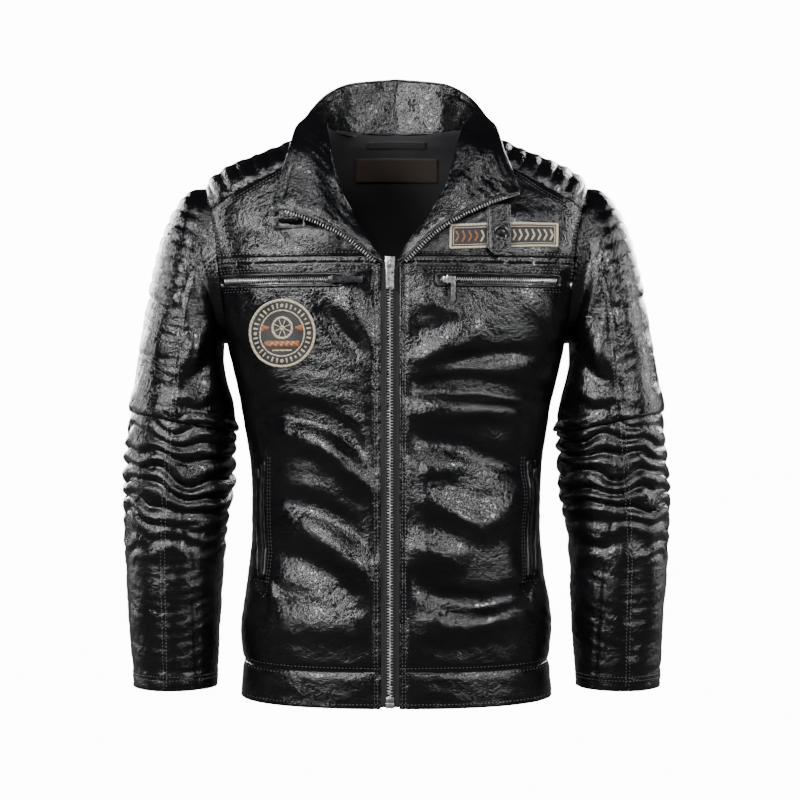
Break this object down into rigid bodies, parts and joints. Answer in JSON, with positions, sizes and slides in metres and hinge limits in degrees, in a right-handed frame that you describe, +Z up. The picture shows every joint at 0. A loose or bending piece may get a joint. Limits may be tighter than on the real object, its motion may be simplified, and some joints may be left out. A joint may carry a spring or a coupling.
{
  "type": "leather riding jacket",
  "caption": "Zip-front leather riding jacket with turned-out collar, quilted shoulders, zipped pockets, collar strap and bending sleeves.",
  "frame": {"origin": "middle of the overall box on the plane that the hem band stands on", "axes": "+Z up, the front faces -Y, the wearer's left is +X"},
  "size_m": [0.654, 0.2649, 0.7491],
  "materials": {
    "leather": "glossy fine-grained black leather",
    "zip_metal": "dark nickel",
    "zip_tape": "woven black tape",
    "lining": "black quilted lining cloth",
    "embroidery": "embroidered patch with a thread border"
  },
  "bodies": {
    "torso": {"hem_band_front_right": "leather", "hem_band_front_left": "leather", "front_panel_right": "leather", "front_panel_left": "leather", "zip_placket_right": "leather", "zip_placket_left": "leather", "front_yoke_right": "leather", "front_yoke_left": "leather", "shoulder_quilt_right": "leather", "shoulder_quilt_left": "leather", "lapel_facing_right": "leather", "lapel_facing_left": "leather", "sleeve_head_right": "leather", "sleeve_head_left": "leather", "chest_pocket_welt_right": "leather", "chest_pocket_welt_left": "leather", "hand_pocket_welt_right": "leather", "hand_pocket_welt_left": "leather", "hem_band_back": "leather", "back_panel": "leather", "back_yoke": "leather", "collar_facing": "leather", "collar_outer": "leather", "ring_keeper": "leather", "chest_zip_chain_right": "zip_metal", "chest_zip_chain_left": "zip_metal", "hand_zip_chain_right": "zip_metal", "hand_zip_chain_left": "zip_metal", "main_zip_teeth_right": "zip_metal", "main_zip_teeth_left": "zip_metal", "main_zip_bottom_stop": "zip_metal", "pocket_rivets": "zip_metal", "main_zip_tape_right": "zip_tape", "main_zip_tape_left": "zip_tape", "body_lining": "lining", "hanging_loop": "lining", "chest_pocket_bag_right": "lining", "chest_pocket_bag_left": "lining", "hand_pocket_bag_right": "lining", "hand_pocket_bag_left": "lining", "round_badge": "embroidery", "name_badge": "embroidery", "neck_label": "embroidery"},
    "arm_right": {"upper_sleeve_right": "leather", "elbow_section_right": "leather"},
    "arm_left": {"upper_sleeve_left": "leather", "elbow_section_left": "leather"},
    "forearm_right": {"forearm_sleeve_right": "leather"},
    "forearm_left": {"forearm_sleeve_left": "leather"},
    "main_slider": {"main_zip_slider": "zip_metal"},
    "main_pull": {"main_zip_pull": "zip_metal"},
    "chest_slider_right": {"chest_zip_slider_right": "zip_metal"},
    "chest_slider_left": {"chest_zip_slider_left": "zip_metal"},
    "chest_pull_right": {"chest_zip_pull_right": "zip_metal"},
    "chest_pull_left": {"chest_zip_pull_left": "zip_metal"},
    "hand_slider_right": {"hand_zip_slider_right": "zip_metal"},
    "hand_slider_left": {"hand_zip_slider_left": "zip_metal"},
    "ring": {"collar_ring": "zip_metal"},
    "strap": {"collar_strap": "leather", "strap_snap_cap": "zip_metal"}
  },
  "joints": [
    {"name": "main_zip_slide", "type": "slide", "parent": "torso", "child": "main_slider", "axis": [0, 0, 1], "range_m": [-0.478, 0], "deforming": ["main_zip_teeth_right", "main_zip_teeth_left"]},
    {"name": "main_pull_hinge", "type": "hinge", "parent": "main_slider", "child": "main_pull", "pos_m": [-0.007, -0.1324, 0.5035], "axis": [-1, 0, 0], "range_deg": [0, 110]},
    {"name": "chest_zip_travel_right", "type": "hinge", "parent": "torso", "child": "chest_slider_right", "pos_m": [-0.07762, 0.06342, 0.486], "axis": [0, 0, -1], "range_deg": [0, 37.76]},
    {"name": "chest_pull_flip_right", "type": "hinge", "parent": "chest_slider_right", "child": "chest_pull_right", "pos_m": [-0.07178, -0.13303, 0.486], "axis": [0, 0, -1], "range_deg": [0, 150]},
    {"name": "hand_zip_travel_right", "type": "hinge", "parent": "torso", "child": "hand_slider_right", "pos_m": [-0.158, -0.44664, 0.22275], "axis": [-1, 0, 0], "range_deg": [0, 16.01]},
    {"name": "shoulder_swing_right", "type": "hinge", "parent": "torso", "child": "arm_right", "pos_m": [-0.217, 0, 0.572], "axis": [0, 1, 0], "range_deg": [0, 45], "deforming": ["sleeve_head_right"]},
    {"name": "elbow_bend_right", "type": "hinge", "parent": "arm_right", "child": "forearm_right", "pos_m": [-0.26, 0.008, 0.262], "axis": [-1, 0, 0], "range_deg": [0, 60], "deforming": ["elbow_section_right"]},
    {"name": "chest_zip_travel_left", "type": "hinge", "parent": "torso", "child": "chest_slider_left", "pos_m": [0.06501, 0.12554, 0.486], "axis": [0, 0, 1], "range_deg": [0, 27.51]},
    {"name": "chest_pull_flip_left", "type": "hinge", "parent": "chest_slider_left", "child": "chest_pull_left", "pos_m": [0.0578, -0.13335, 0.486], "axis": [0, 0, -1], "range_deg": [0, 150]},
    {"name": "hand_zip_travel_left", "type": "hinge", "parent": "torso", "child": "hand_slider_left", "pos_m": [0.158, -0.44664, 0.22275], "axis": [-1, 0, 0], "range_deg": [0, 16.01]},
    {"name": "shoulder_swing_left", "type": "hinge", "parent": "torso", "child": "arm_left", "pos_m": [0.217, 0, 0.572], "axis": [0, -1, 0], "range_deg": [0, 45], "deforming": ["sleeve_head_left"]},
    {"name": "elbow_bend_left", "type": "hinge", "parent": "arm_left", "child": "forearm_left", "pos_m": [0.26, 0.008, 0.262], "axis": [-1, 0, 0], "range_deg": [0, 60], "deforming": ["elbow_section_left"]},
    {"name": "ring_swing", "type": "hinge", "parent": "torso", "child": "ring", "pos_m": [-0.122, -0.11957, 0.5563], "axis": [-1, 0, 0], "range_deg": [0, 35]},
    {"name": "strap_lift", "type": "hinge", "parent": "torso", "child": "strap", "pos_m": [0.116, -0.11362, 0.5717], "axis": [-1, 0, 0], "range_deg": [0, 70]}
  ]
}
